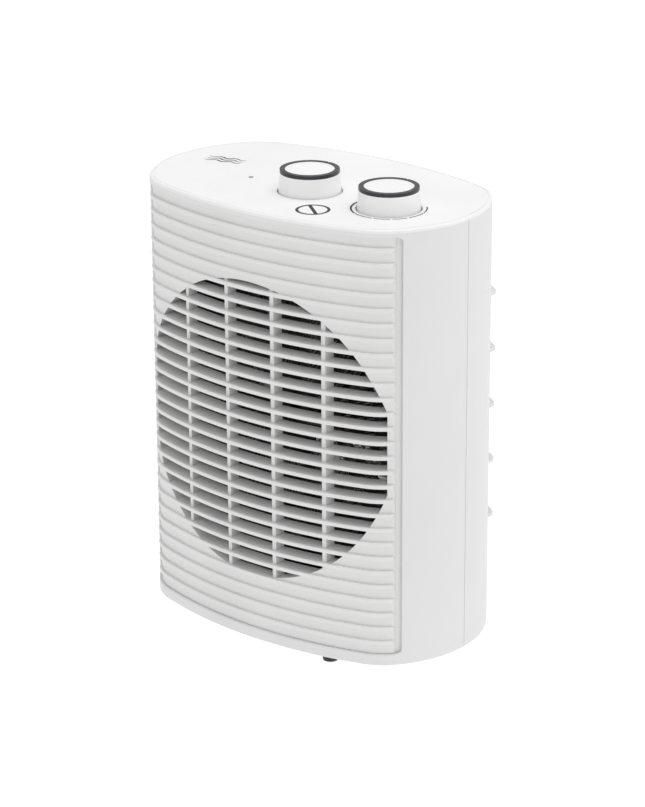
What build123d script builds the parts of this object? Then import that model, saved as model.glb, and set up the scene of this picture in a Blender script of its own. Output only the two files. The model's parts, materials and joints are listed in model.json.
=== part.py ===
from build123d import *

import os
from math import atan2, cos, degrees, radians, sin

# Fan-forced space heater: upright oval casing, two rotary controls on top.
# Lengths are millimetres. While a piece is modelled, Y = 0 is the joint plane between the front
# and rear casings and Z = 0 is the underside of the casing. save() then moves every piece into
# the part frame: +Z up, the front facing -Y, the origin on the standing surface under the middle.

# casing
WIDTH = 204.0
DEPTH = 127.0
HEIGHT = 250.0
SIDE_RADIUS = 66.0  # arc across each end of the oval plan
SIDE_SWEEP = 41.0  # degrees of that arc on each side of the X axis
CORNER_RADIUS = 30.0
WALL = 2.2
SEAM_WIDTH = 0.7  # shallow groove where the casings meet
SEAM_DEPTH = 0.3
COVER_EDGE = 1.8  # height of the top cover's rounded rim above the casings
SHELL_TOP = HEIGHT - COVER_EDGE
FOOT_HEIGHT = 3.0
GAP = 0.2  # assembly clearance between neighbouring mouldings

# air path
AXIS_Z = 126.4  # height of the fan axis
RIB_PITCH = 8.35
RIB_COUNT = 28
RIB_HEIGHT = 2.3
FIRST_RIB_Z = AXIS_Z - RIB_PITCH * (RIB_COUNT - 1) / 2
OPENING_Z = 124.0  # the round opening sits a little below the fan axis
OPENING_RADIUS = 85.7
OPENING_HALF_WIDTH = 82.4
DUCT_RADIUS = 78.0
DUCT_WALL = 1.6
DUCT_FRONT = -34.0
DUCT_REAR = 14.0
FAN_RADIUS = 74.0
HUB_RADIUS = 17.0
FAN_FRONT = -12.0
FAN_REAR = 7.0
SHAFT_RADIUS = 1.6
BLADE_COUNT = 7

# front grille panel
WINDOW_HALF_WIDTH = 88.0
WINDOW_BOTTOM = 6.7
WINDOW_TOP = 246.0
WINDOW_CORNER = 2.5
WINDOW_EDGE = 0.7  # rounding of the front window's rim
SKIN_INSET = 1.6  # panel skin below the casing surface
SKIN_WALL = 2.0
LOUVRE_DEPTH = 9.7
GROOVE = 2.8  # open channel between the panel's sides and the window, measured along X
EDGE_ROUND = 3.0  # how softly the panel and its ribs turn into that channel
FLANGE_INSET = 2.4  # floor of the channel
FLANGE_WALL = 1.8
BAR_WIDTH = 2.4
BAR_INSET = 2.3
BAR_XS = (-48.0, -16.0, 16.0, 48.0)

# rear grille
REAR_RIB_PROUD = 3.4
REAR_RIB_HEIGHT = 2.6
REAR_RIB_END = 2.4  # rounding of the spacer ribs' ends, seen from above
REAR_RIB_END_Y = 44.0  # the ribs' outer end edges lie behind this depth
REAR_RIB_STEP = 32.9
REAR_SLOT_PITCH = REAR_RIB_STEP / 6
REAR_SLOT_HEIGHT = 3.2
REAR_SLAT_DEPTH = 9.0
REAR_MIDDLE = 127.2
REAR_BOTTOM = 36.0
REAR_TOP = 217.0
REAR_OPENING_RADIUS = 79.0
REAR_SPINES = (-60.0, -36.0, -12.0, 12.0, 36.0, 60.0)

# controls
KNOB_Y = -13.2
SELECTOR_X = 4.5
THERMOSTAT_X = 58.9
PILOT_X = -37.4
KNOB_RADIUS = 17.4
KNOB_TOP_RADIUS = 16.4
KNOB_PROUD = 12.6
KNOB_RING_INNER = 13.6
KNOB_RING_HEIGHT = 2.0
WELL_RADIUS = 18.1
WELL_DEPTH = 5.0
CONTROL_SHAFT_RADIUS = 3.0

# tip-over switch
PLUNGER_X = 49.2
PLUNGER_Y = -51.0
PLUNGER_CAP_Y = -52.7
PLUNGER_STEM = 2.0
PLUNGER_CAP = 4.4

REAR_EXTENT = DEPTH / 2 + REAR_RIB_PROUD
FRAME_SHIFT_Y = -(REAR_EXTENT - DEPTH / 2) / 2  # centres the whole depth on the origin
BIG = 400.0


# basics

def save(name, shape):
    """Moves a finished piece into the part frame and writes it."""
    solids = shape.solids() if not isinstance(shape, list) else shape
    placed = [Pos(0, FRAME_SHIFT_Y, FOOT_HEIGHT) * s for s in solids]
    export_step(placed[0] if len(placed) == 1 else Compound(children=placed), f"parts/{name}.step")


def box(x0, x1, y0, y1, z0, z1):
    middle = Pos((x0 + x1) / 2, (y0 + y1) / 2, (z0 + z1) / 2)
    return middle * Box(x1 - x0, y1 - y0, z1 - z0)


def rod_y(x, z, radius, y0, y1):
    """Cylinder along Y between two depths."""
    return Pos(x, (y0 + y1) / 2, z) * Rot(90, 0, 0) * Cylinder(radius, y1 - y0)


def rod_z(x, y, radius, z0, z1):
    return Pos(x, y, (z0 + z1) / 2) * Cylinder(radius, z1 - z0)


def tube_y(outer, inner, y0, y1, x=0.0, z=AXIS_Z):
    return rod_y(x, z, outer, y0, y1) - rod_y(x, z, inner, y0 - 1, y1 + 1)


def oval_centres():
    """Centres of the side, corner and face arcs in the first quadrant, and the face radius."""
    sweep = radians(SIDE_SWEEP)
    side = (WIDTH / 2 - SIDE_RADIUS, 0.0)
    reach = SIDE_RADIUS - CORNER_RADIUS
    corner = (side[0] + reach * cos(sweep), reach * sin(sweep))
    drop = corner[1] - DEPTH / 2
    face_radius = (CORNER_RADIUS**2 - corner[0] ** 2 - drop**2) / (2 * (drop + CORNER_RADIUS))
    return side, corner, (0.0, DEPTH / 2 - face_radius), face_radius


def oval_face(inset=0.0):
    """The casing's plan outline, moved inwards by inset, as a face of eight tangent arcs."""
    side, corner, face, face_radius = oval_centres()
    join = degrees(atan2(corner[1] - face[1], corner[0] - face[0]))
    edges = []
    for sx, sy in ((1, 1), (-1, 1), (-1, -1), (1, -1)):
        start, end = (SIDE_SWEEP, join)
        if sx < 0:
            start, end = 180 - end, 180 - start
        if sy < 0:
            start, end = -end, -start
        centre = (sx * corner[0], sy * corner[1])
        edges.append(CenterArc(centre, CORNER_RADIUS - inset, start, end - start))
    for sx, turn in ((1, 0), (-1, 180)):
        centre = (sx * side[0], 0)
        edges.append(CenterArc(centre, SIDE_RADIUS - inset, turn - SIDE_SWEEP, 2 * SIDE_SWEEP))
    for sy, turn in ((1, 0), (-1, 180)):
        centre = (0, sy * face[1])
        edges.append(CenterArc(centre, face_radius - inset, turn + join, 180 - 2 * join))
    return Face(Wire(edges))


def oval_block(inset, z0, z1):
    return Pos(0, 0, z0) * extrude(oval_face(inset), z1 - z0)


def oval_ring(inset_out, inset_in, z0, z1):
    return oval_block(inset_out, z0, z1) - oval_block(inset_in, z0 - 1, z1 + 1)


def window_prism(half_width, z0, z1, corner, y0, y1):
    """Rounded rectangle in the XZ plane, extruded along Y."""
    plane = Plane.XZ.offset(-y1)
    sketch = plane * Pos(0, (z0 + z1) / 2) * RectangleRounded(2 * half_width, z1 - z0, corner)
    return extrude(sketch, y1 - y0)


def opening_prism(grow, y0, y1):
    """The round air opening with its two flattened sides, extruded along Y."""
    disc = rod_y(0, OPENING_Z, OPENING_RADIUS + grow, y0, y1)
    half = OPENING_HALF_WIDTH + grow
    return disc & box(-half, half, y0, y1, 0, HEIGHT)


# casings

def casing_solid():
    """The closed casing up to the cover, hollow, with a floor."""
    outer = oval_block(0, 0, SHELL_TOP)
    bottom_edges = outer.edges().group_by(Axis.Z)[0]
    outer = fillet(bottom_edges, 1.0)
    seam = box(-BIG, BIG, -SEAM_WIDTH / 2, SEAM_WIDTH / 2, -1, BIG)
    outer -= oval_ring(-1, SEAM_DEPTH, -1, BIG) & seam
    return outer - oval_block(WALL, WALL, SHELL_TOP + 1)


def boss_places():
    return [(sx * 80.0, z) for sx in (-1, 1) for z in (20.0, 228.0)]


BOSS_RADIUS = 4.2
BOSS_FRONT = -18.0


def front_casing(casing):
    body = casing & box(-BIG, BIG, -BIG, 0, -1, BIG)
    lip_outer = oval_ring(0, FLANGE_INSET - GAP, WINDOW_BOTTOM - 1.8, SHELL_TOP)
    lip_outer &= box(-WINDOW_HALF_WIDTH - 1.8, WINDOW_HALF_WIDTH + 1.8, -BIG, 0, 0, BIG)
    body += lip_outer
    for x, z in boss_places():
        side = 1 if x > 0 else -1
        post = rod_y(x, z, BOSS_RADIUS, BOSS_FRONT, 0)
        web = box(min(x, x + side * 20), max(x, x + side * 20), BOSS_FRONT, -1, z - 1, z + 1)
        body += (post + web) & oval_block(1.0, 0, SHELL_TOP)
        body -= rod_y(x, z, 1.4, BOSS_FRONT + 3, 1)
    body -= window_prism(WINDOW_HALF_WIDTH, WINDOW_BOTTOM, WINDOW_TOP, WINDOW_CORNER, -BIG, -30)
    body = fillet(window_rim(body), WINDOW_EDGE)
    body -= rod_z(PLUNGER_X, PLUNGER_Y, PLUNGER_STEM + 0.3, -1, WALL + 1)
    for x, y in front_feet():
        body -= rod_z(x, y, FOOT_STEM, -1, WALL + 1)
    return body


def window_rim(body):
    """The two upright edges of the front window on the casing's outer surface."""
    rim = []
    for side in (-1, 1):
        near = [e for e in body.edges().filter_by(Axis.Z)
                if abs(e.center().X - side * WINDOW_HALF_WIDTH) < 0.01 and e.length > HEIGHT / 2]
        rim.append(min(near, key=lambda e: e.center().Y))
    return rim


def rear_casing(casing):
    body = casing & box(-BIG, BIG, 0, BIG, -1, BIG)
    for x, z in boss_places():
        post = rod_y(x, z, BOSS_RADIUS, 0, BIG / 4) & oval_block(1.0, 0, SHELL_TOP)
        body += post
    for x, z in boss_places():
        body -= rod_y(x, z, 1.9, -1, BIG / 4)
        body -= rod_y(x, z, 3.2, SCREW_SEAT, BIG / 4)
    body -= window_prism(WINDOW_HALF_WIDTH, REAR_BOTTOM, REAR_TOP, WINDOW_CORNER, 30, BIG)
    body -= rod_y(INLET_X, INLET_Z, INLET_NECK, 40, BIG / 4)
    for x, y in rear_feet():
        body -= rod_z(x, y, FOOT_STEM, -1, WALL + 1)
    return body


SCREW_SEAT = 26.0
FOOT_STEM = 2.0
FOOT_RADIUS = 6.5
INLET_X = -52.0
INLET_Z = 19.0
INLET_NECK = 6.0
INLET_BORE = 3.7


def front_feet():
    return [(-62.0, -34.0), (62.0, -34.0)]


def rear_feet():
    return [(-62.0, 36.0), (62.0, 36.0)]


def foot(x, y):
    pad = rod_z(x, y, FOOT_RADIUS, -FOOT_HEIGHT, 0)
    pad = chamfer(pad.edges().group_by(Axis.Z)[0], 0.6)
    return pad + rod_z(x, y, FOOT_STEM, -0.5, WALL) + rod_z(x, y, FOOT_STEM + 1, WALL, WALL + 1.5)


def cord_inlet():
    """Two-flanged bushing that lines the hole for the supply cord, shaped to the wall."""
    collar = oval_ring(-2.0, -0.03, 0, 40) & rod_y(INLET_X, INLET_Z, 9.0, 30, BIG / 4)
    neck = oval_ring(-1.9, WALL + 1.9, 0, 40) & rod_y(INLET_X, INLET_Z, INLET_NECK - 0.05, 30, BIG / 4)
    keeper = oval_ring(WALL + 0.03, WALL + 2.0, 0, 40) & rod_y(INLET_X, INLET_Z, 8.0, 30, BIG / 4)
    return collar + neck + keeper - rod_y(INLET_X, INLET_Z, INLET_BORE, 30, BIG / 4)


def terminal_block():
    """Four-way strip connector screwed to the rear casing's floor."""
    x0, y0, z0 = -44.0, 22.0, WALL + 0.02
    block = box(x0, x0 + 40, y0, y0 + 16, z0, z0 + 3)
    for k in range(4):
        x = x0 + 5 + 10 * k
        post = box(x - 4, x + 4, y0, y0 + 16, z0 + 2, z0 + 12)
        post -= rod_y(x, z0 + 6, 1.8, y0 - 1, y0 + 17)
        for y in (y0 + 4, y0 + 12):
            post -= rod_z(x, y, 2.2, z0 + 6, z0 + 13)
        block += post
    return block


# top cover

def top_cover():
    rim = oval_block(0, SHELL_TOP, HEIGHT)
    rim = fillet(rim.edges().group_by(Axis.Z)[-1], 1.5)
    groove = oval_ring(2.0, 2.4, HEIGHT - 0.3, HEIGHT + 1)
    lip = oval_ring(WALL + GAP, WALL + GAP + 1.6, SHELL_TOP - 6, SHELL_TOP + 0.5)
    lip -= box(-BIG, BIG, -BIG, -30, 0, BIG)
    cover = rim + lip - groove
    for x in (SELECTOR_X, THERMOSTAT_X):
        cover += rod_z(x, KNOB_Y, WELL_RADIUS + 1.6, HEIGHT - WELL_DEPTH - 2, HEIGHT - 1)
    for x in (SELECTOR_X, THERMOSTAT_X):
        cover -= rod_z(x, KNOB_Y, WELL_RADIUS, HEIGHT - WELL_DEPTH, HEIGHT + 1)
        cover -= rod_z(x, KNOB_Y, CONTROL_SHAFT_RADIUS + 1.2, HEIGHT - 20, HEIGHT)
    return cover - rod_z(PILOT_X, KNOB_Y, 1.4, HEIGHT - 10, HEIGHT + 1)


def knob(x):
    """Skirted knob; its top carries a dark ring set into a step."""
    z0, z1 = HEIGHT - 3.0, HEIGHT + KNOB_PROUD
    profile = Polyline(
        (0, z0), (KNOB_RADIUS, z0), (KNOB_TOP_RADIUS, z1 - KNOB_RING_HEIGHT),
        (KNOB_RING_INNER, z1 - KNOB_RING_HEIGHT), (KNOB_RING_INNER, z1 - 0.3), (0, z1 - 0.3), (0, z0),
    )
    body = revolve(make_face(Plane.XZ * profile), Axis.Z)
    hollow = rod_z(0, 0, KNOB_RADIUS - 2.2, z0 - 1, z1 - 4.0)
    socket = rod_z(0, 0, CONTROL_SHAFT_RADIUS + 2.2, z0, z1 - 3.0)
    body = body - hollow + socket - rod_z(0, 0, CONTROL_SHAFT_RADIUS, z0 - 1, z1 - 5.0)
    return Pos(x, KNOB_Y, 0) * body


def knob_ring(x):
    z1 = HEIGHT + KNOB_PROUD
    ring = rod_z(0, 0, KNOB_TOP_RADIUS, z1 - KNOB_RING_HEIGHT, z1)
    ring = fillet(ring.edges().group_by(Axis.Z)[-1], 0.3)
    ring -= rod_z(0, 0, KNOB_RING_INNER, z1 - 10, z1 + 1)
    pointer = box(-0.6, 0.6, KNOB_TOP_RADIUS - 2.0, KNOB_TOP_RADIUS + 1, z1 - 0.5, z1 + 1)
    return Pos(x, KNOB_Y, 0) * (ring - pointer)


def control_shaft(x):
    """Shaft from the control's body up into the knob's socket."""
    return rod_z(x, KNOB_Y, CONTROL_SHAFT_RADIUS, 236.0, HEIGHT + KNOB_PROUD - 5.0)


def pilot_lens():
    dome = rod_z(PILOT_X, KNOB_Y, 1.4, HEIGHT - 6, HEIGHT + 0.2)
    return dome + rod_z(PILOT_X, KNOB_Y, 2.6, HEIGHT - 7, HEIGHT - 2.1 - COVER_EDGE)


def pilot_lamp():
    lamp = rod_z(PILOT_X, KNOB_Y, 2.3, HEIGHT - 22, HEIGHT - 7.2)
    return fillet(lamp.edges().group_by(Axis.Z)[-1], 1.5)


CONTROL_TOP = HEIGHT - WELL_DEPTH - 2.2


def thermostat():
    """Bimetal thermostat: bush, ceramic body and a row of blades hanging below."""
    x = THERMOSTAT_X
    bush = rod_z(x, KNOB_Y, 5.0, CONTROL_TOP - 4, CONTROL_TOP)
    plate = box(x - 13, x + 13, KNOB_Y - 8, KNOB_Y + 8, CONTROL_TOP - 5.5, CONTROL_TOP - 4)
    stack = box(x - 12, x - 2, KNOB_Y - 5, KNOB_Y + 5, CONTROL_TOP - 17, CONTROL_TOP - 5.5)
    blades = [
        box(x - 14, x + 12, KNOB_Y - 3.5, KNOB_Y + 3.5, z, z + 0.6)
        for z in (CONTROL_TOP - 15.5, CONTROL_TOP - 12.0, CONTROL_TOP - 8.5)
    ]
    body = bush + plate + stack
    for blade in blades:
        body += blade
    return body - rod_z(x, KNOB_Y, CONTROL_SHAFT_RADIUS + 0.05, 236.0 - 0.3, HEIGHT)


def selector_switch():
    """Rotary heat selector: moulded housing, bush and five tab terminals."""
    x = SELECTOR_X
    housing = rod_z(x, KNOB_Y, 15.0, CONTROL_TOP - 20, CONTROL_TOP - 4)
    housing += box(x - 18, x + 18, KNOB_Y - 6, KNOB_Y + 6, CONTROL_TOP - 12, CONTROL_TOP - 4)
    housing += rod_z(x, KNOB_Y, 5.0, CONTROL_TOP - 5, CONTROL_TOP)
    for k in range(5):
        turn = Pos(x, KNOB_Y, 0) * Rot(0, 0, 72 * k)
        housing += turn * box(9.0, 9.8, -2.4, 2.4, CONTROL_TOP - 28, CONTROL_TOP - 19)
    return housing - rod_z(x, KNOB_Y, CONTROL_SHAFT_RADIUS + 0.05, 236.0 - 0.3, HEIGHT)


# front grille

def rib_levels():
    return [FIRST_RIB_Z + RIB_PITCH * k for k in range(RIB_COUNT)]


def outer_uprights(shape, half):
    """The vertical edges at the two ends of a curved strip, on its outer surface."""
    picked = []
    for side in (-1, 1):
        ends = [e for e in shape.edges().filter_by(Axis.Z) if abs(e.center().X - side * half) < 0.01]
        picked.append(min(ends, key=lambda e: e.center().Y))
    return picked


def outer_rib(half):
    """One rib around height zero, rounded along its nose and at its ends."""
    strip = oval_ring(0.1, SKIN_INSET + 0.3, -RIB_HEIGHT / 2, RIB_HEIGHT / 2)
    strip &= box(-half, half, -BIG, -30, -5, 5)
    strip = fillet(outer_uprights(strip, half), EDGE_ROUND)
    long_radius = oval_centres()[3] - 0.1
    arcs = strip.edges().filter_by(GeomType.CIRCLE)
    nose = [e for e in arcs if e.center().Y < -30 and abs(e.radius - long_radius) < 0.01]
    return fillet(nose, 0.5)


def front_grille():
    """Louvred panel: thin curved skin, 28 ribs, and deep slats and bars across the opening."""
    half = WINDOW_HALF_WIDTH - GROOVE
    z0, z1 = WINDOW_BOTTOM + GAP, WINDOW_TOP - GAP
    front = box(-half, half, -BIG, -30, z0, z1)
    skin = oval_ring(SKIN_INSET, SKIN_INSET + SKIN_WALL, z0, z1) & front
    cheeks = oval_ring(SKIN_INSET, FLANGE_INSET + FLANGE_WALL, z0, z1)
    cheeks &= front - box(-half + 1.8, half - 1.8, -BIG, 0, 0, BIG)
    skin += cheeks
    skin = fillet(outer_uprights(skin, half), EDGE_ROUND)
    wide = WINDOW_HALF_WIDTH + 2.6
    flange = oval_ring(FLANGE_INSET, FLANGE_INSET + FLANGE_WALL, z0 - 3.4, z1 + 1.0)
    flange &= box(-wide, wide, -BIG, -30, 0, BIG)
    flange -= box(-half + 1.8, half - 1.8, -BIG, 0, z0 + 2, z1 - 2)
    bezel = oval_ring(SKIN_INSET, LOUVRE_DEPTH, z0, z1) & opening_prism(1.8, -BIG, -30)
    panel = skin + flange + bezel - opening_prism(0, -BIG, -20)
    openwork = opening_prism(0.4, -BIG, -30)
    bar_ring = oval_ring(BAR_INSET, LOUVRE_DEPTH - 0.4, z0, z1) & openwork
    bars = [bar_ring & box(x - BAR_WIDTH / 2, x + BAR_WIDTH / 2, -BIG, 0, 0, BIG) for x in BAR_XS]
    rib = outer_rib(half)
    louvres = []
    for z in rib_levels():
        placed = Pos(0, 0, z) * rib
        slat = oval_ring(SKIN_INSET + 0.15, LOUVRE_DEPTH - 0.15, z - RIB_HEIGHT / 2, z + RIB_HEIGHT / 2)
        crosses = abs(z - OPENING_Z) < OPENING_RADIUS
        louvres += (placed + (slat & openwork)).solids() if crosses else placed.solids()
    panel = panel.fuse(*bars).fuse(*louvres)
    notch = box(PLUNGER_X - 9, PLUNGER_X + 9, -BIG, -30, -5, 24)
    return panel - (notch & oval_block(SKIN_INSET + SKIN_WALL, 0, HEIGHT))


# rear grille

def rear_grille():
    """Intake panel flush with the casing; every fourth bar stands proud as a spacer rib."""
    half = WINDOW_HALF_WIDTH - GAP
    z0, z1 = REAR_BOTTOM + GAP, REAR_TOP - GAP
    window = window_prism(half, z0, z1, WINDOW_CORNER, 30, BIG)
    panel = oval_ring(0, WALL + 0.5, z0, z1) & window
    flange = oval_ring(WALL + GAP, WALL + GAP + 1.6, z0 - 5, z1 + 5)
    panel += flange & box(-half - 2.5, half + 2.5, 30, BIG, 0, BIG)
    disc = rod_y(0, REAR_MIDDLE, REAR_OPENING_RADIUS, 20, BIG / 2)
    rim = rod_y(0, REAR_MIDDLE, REAR_OPENING_RADIUS + 1.8, 20, BIG / 2)
    panel = panel + (oval_ring(0.1, REAR_SLAT_DEPTH, z0, z1) & rim) - disc
    openwork = rod_y(0, REAR_MIDDLE, REAR_OPENING_RADIUS + 0.5, 20, BIG / 2)
    slat_ring = oval_ring(0.2, REAR_SLAT_DEPTH - 0.2, z0, z1) & openwork
    half_slat = (REAR_SLOT_PITCH - REAR_SLOT_HEIGHT) / 2
    levels = [REAR_MIDDLE + REAR_SLOT_PITCH * k for k in range(-14, 15)]
    slats = [slat_ring & box(-BIG, BIG, 20, BIG, z - half_slat, z + half_slat) for z in levels]
    spine_ring = oval_ring(0.9, REAR_SLAT_DEPTH - 0.6, z0, z1) & openwork
    spines = [spine_ring & box(x - 1.2, x + 1.2, 20, BIG, 0, BIG) for x in REAR_SPINES]
    panel = panel.fuse(*spines).fuse(*slats)
    proud = []
    for k in range(-2, 3):
        level = REAR_MIDDLE + REAR_RIB_STEP * k
        rib = oval_ring(-REAR_RIB_PROUD, 0.5, level - REAR_RIB_HEIGHT / 2, level + REAR_RIB_HEIGHT / 2)
        rib &= box(-half + 1, half - 1, 30, BIG, 0, BIG)
        ends = [e for e in rib.edges().filter_by(Axis.Z) if abs(e.center().X) > half - 1.1]
        rib = fillet([e for e in ends if e.center().Y > REAR_RIB_END_Y], REAR_RIB_END)
        proud.append(fillet(rib.edges().filter_by(lambda e: is_proud_edge(e)), 0.6))
    return panel.fuse(*proud)


def is_proud_edge(edge):
    """True for the long outer edges of a spacer rib."""
    if edge.geom_type != GeomType.CIRCLE:
        return False
    return abs(edge.radius - oval_centres()[3] - REAR_RIB_PROUD) < 0.01


# air duct and element

BULKHEAD_FRONT = 10.0
BULKHEAD_REAR = 11.8
BAFFLE_FRONT = -19.0
BAFFLE_HALF = 94.0
BAFFLE_LOW = 34.0
BAFFLE_HIGH = 212.0


def air_duct():
    """Duct ring, its front baffle and the bulkhead that carries it between the casings."""
    half = WIDTH / 2 - WALL - 1.4
    bulkhead = box(-half, half, BULKHEAD_FRONT, BULKHEAD_REAR, WALL + GAP, SHELL_TOP - 8)
    for x, z in boss_places():
        bulkhead -= rod_y(x, z, BOSS_RADIUS + 0.3, 0, 20)
        side = 1 if x > 0 else -1
        bulkhead -= box(min(x, x + side * 30), max(x, x + side * 30), 0, 20, z - 3, z + 3)
    baffle = box(-BAFFLE_HALF, BAFFLE_HALF, BAFFLE_FRONT, BAFFLE_FRONT + 1.6, BAFFLE_LOW, BAFFLE_HIGH)
    duct = bulkhead + baffle + rod_y(0, AXIS_Z, DUCT_RADIUS + DUCT_WALL, DUCT_FRONT, DUCT_REAR)
    return duct - rod_y(0, AXIS_Z, DUCT_RADIUS, DUCT_FRONT - 1, DUCT_REAR + 1)


MICA = 0.9
COIL_RADIUS = 2.4
COIL_RINGS = (30.0, 46.0, 62.0)
COIL_Y = (-32.0, -21.5)
MICA_FRONT = -37.0
MICA_REAR = -17.0


def mica_board(angle, slot_from_front):
    """One of two crossed boards, holed for the coils and half slotted where they cross."""
    reach = DUCT_RADIUS - 1.0
    board = box(-reach, reach, MICA_FRONT, MICA_REAR, -MICA / 2, MICA / 2)
    middle = (MICA_FRONT + MICA_REAR) / 2
    if slot_from_front:
        board -= box(-MICA, MICA, MICA_FRONT - 1, middle + 0.2, -2, 2)
    else:
        board -= box(-MICA, MICA, middle - 0.2, MICA_REAR + 1, -2, 2)
    for radius in COIL_RINGS:
        for y in COIL_Y:
            for side in (-1, 1):
                board -= rod_z(side * radius, y, COIL_RADIUS + 0.2, -2, 2)
    return Pos(0, 0, AXIS_Z) * Rot(0, angle, 0) * board


def heating_coil(y):
    """Three rings of coiled wire in one plane, as tubes of the coil's outer size."""
    return [
        Pos(0, y, AXIS_Z) * Rot(90, 0, 0) * Torus(radius, COIL_RADIUS) for radius in COIL_RINGS
    ]


def board_clip(angle):
    """Bent steel clip that grips one end of a mica board and lies against the duct."""
    y0, y1 = MICA_FRONT + 3, MICA_REAR - 3
    clip = box(77.05, 77.85, y0, y1, -3, 3)
    for low, high in ((0.5, 1.2), (-1.2, -0.5)):
        clip += box(75.2, 77.2, y0, y1, low, high)
    return Pos(0, 0, AXIS_Z) * Rot(0, angle, 0) * clip


def thermal_cutout():
    """Disc cut-out fixed to the upright board: round body, metal cap and two tabs."""
    y, z, x0 = -27.0, AXIS_Z + 70.0, MICA / 2 + 0.02
    body = Pos(x0 + 2.5, y, z) * Rot(0, 90, 0) * Cylinder(4.8, 5)
    body += Pos(x0 + 5.9, y, z) * Rot(0, 90, 0) * Cylinder(4.1, 2)
    for side in (-1, 1):
        low, high = sorted((y + side * 4, y + side * 9.5))
        body += box(x0 + 1, x0 + 1.8, low, high, z - 2, z + 2)
    return body


# fan and motor

def fan_impeller():
    hub = rod_y(0, 0, HUB_RADIUS, FAN_FRONT, FAN_REAR)
    hub = fillet(hub.edges().group_by(Axis.Y)[0], 4.0)
    hub -= rod_y(0, 0, HUB_RADIUS - 2.2, FAN_FRONT + 5, FAN_REAR + 1)
    hub += rod_y(0, 0, 4.5, FAN_FRONT + 1, FAN_REAR - 1)
    fan = hub
    inner, outer = HUB_RADIUS - 1.0, FAN_RADIUS
    for k in range(BLADE_COUNT):
        root = Plane(origin=(inner, 0, 0), x_dir=(0, 0, 1), z_dir=(1, 0, 0))
        tip = Plane(origin=(outer, 0, 0), x_dir=(0, 0, 1), z_dir=(1, 0, 0))
        small = root * Rot(0, 0, 42) * RectangleRounded(20, 1.8, 0.8)
        large = tip * Rot(0, 0, 22) * RectangleRounded(44, 1.4, 0.6)
        middle = (FAN_FRONT + FAN_REAR) / 2
        blade = Pos(0, middle, 0) * loft([small.face(), large.face()])
        blade &= rod_y(0, 0, FAN_RADIUS, FAN_FRONT, FAN_REAR)
        fan += Rot(0, 360 / BLADE_COUNT * k, 0) * blade
    fan -= rod_y(0, 0, HUB_RADIUS - 2.2, FAN_FRONT + 5, FAN_REAR + 1) - rod_y(0, 0, 4.5, -BIG, BIG)
    fan -= rod_y(0, 0, SHAFT_RADIUS, -BIG, BIG)
    return Pos(0, 0, AXIS_Z) * fan


STACK_FRONT = 24.0
STACK_REAR = 40.0
STACK_BORE = 12.9
BRACKET_FRONT = 18.0
BRACKET_REAR = 47.0


def motor_stack():
    """Laminated C-frame with the rotor bore and the window for the coil."""
    z = AXIS_Z
    stack = box(-27, 27, STACK_FRONT, STACK_REAR, z - 20, z + 40)
    stack = chamfer(stack.edges().filter_by(Axis.Y), 3.0)
    stack -= box(-17.5, 17.5, STACK_FRONT - 1, STACK_REAR + 1, z + 17.5, z + 29)
    stack -= rod_y(0, z, STACK_BORE, STACK_FRONT - 1, STACK_REAR + 1)
    for x in (-22, 22):
        stack -= rod_y(x, z, 1.8, STACK_FRONT - 1, STACK_REAR + 1)
    return stack


def motor_bobbin():
    z = AXIS_Z
    bobbin = box(-17, 17, STACK_FRONT - 6, STACK_REAR + 6, z + 18, z + 51)
    bobbin -= box(-15.6, 15.6, BIG / -2, BIG / 2, z + 45, z + 60)
    bobbin -= box(-15.6, 15.6, STACK_REAR + 1.2, BIG / 2, 0, BIG)
    bobbin -= box(-15.6, 15.6, -BIG / 2, STACK_FRONT - 1.2, 0, BIG)
    bobbin -= box(-15.6, 15.6, -BIG, BIG, z + 10, z + 24.5)
    bobbin -= box(-30, 30, STACK_FRONT, STACK_REAR, z + 29, z + 40)
    return bobbin


def motor_winding():
    z = AXIS_Z
    winding = box(-15.4, 15.4, STACK_FRONT - 5.5, STACK_REAR + 5.5, z + 19, z + 50.5)
    core = box(-30, 30, STACK_FRONT - 1.3, STACK_REAR + 1.3, z + 24.4, z + 45.1)
    return fillet((winding - core).edges().filter_by(Axis.X).group_by(Axis.Y)[-1], 2.0)


def motor_rotor():
    rotor = tube_y(12.5, SHAFT_RADIUS, STACK_FRONT - 0.5, STACK_REAR + 0.5)
    return rotor


def motor_shaft():
    return rod_y(0, AXIS_Z, SHAFT_RADIUS, FAN_FRONT - 3, BRACKET_REAR + 4)


def fan_clip():
    return tube_y(4.0, SHAFT_RADIUS, FAN_FRONT - 2.2, FAN_FRONT - 0.05)


BUSH_RADIUS = 4.0


def bearing_bracket(y, toward_stack):
    """Bent strip with a seat for the bush; its legs stand on the lamination stack."""
    z = AXIS_Z
    low, high = min(y, y + 2), max(y, y + 2)
    strip = box(-25, 25, low, high, z - 6, z + 6)
    leg_end = STACK_FRONT if toward_stack > 0 else STACK_REAR
    for x in (-22, 22):
        y0, y1 = (high, leg_end) if toward_stack > 0 else (leg_end, low)
        strip += box(x - 3.4, x + 3.4, y0, y1, z - 6, z + 6)
    strip += rod_y(0, z, BUSH_RADIUS + 2, low - 1, high + 1)
    strip -= rod_y(0, z, BUSH_RADIUS, low - 5, high + 5)
    for x in (-22, 22):
        strip -= rod_y(x, z, 1.8, 0, 80)
    return strip


def bush(y):
    return tube_y(BUSH_RADIUS, SHAFT_RADIUS + 0.05, y - 1, y + 3)


def screw_head(x, z, radius, seat, height):
    """Pan head with a cross recess, facing the rear."""
    head = rod_y(x, z, radius, seat, seat + height)
    head = fillet(head.edges().group_by(Axis.Y)[-1], 0.8)
    for width, tall in ((3.2, 0.8), (0.8, 3.2)):
        low, high = seat + height - 1.2, seat + height + 1
        head -= box(x - width / 2, x + width / 2, low, high, z - tall / 2, z + tall / 2)
    return head


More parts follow.
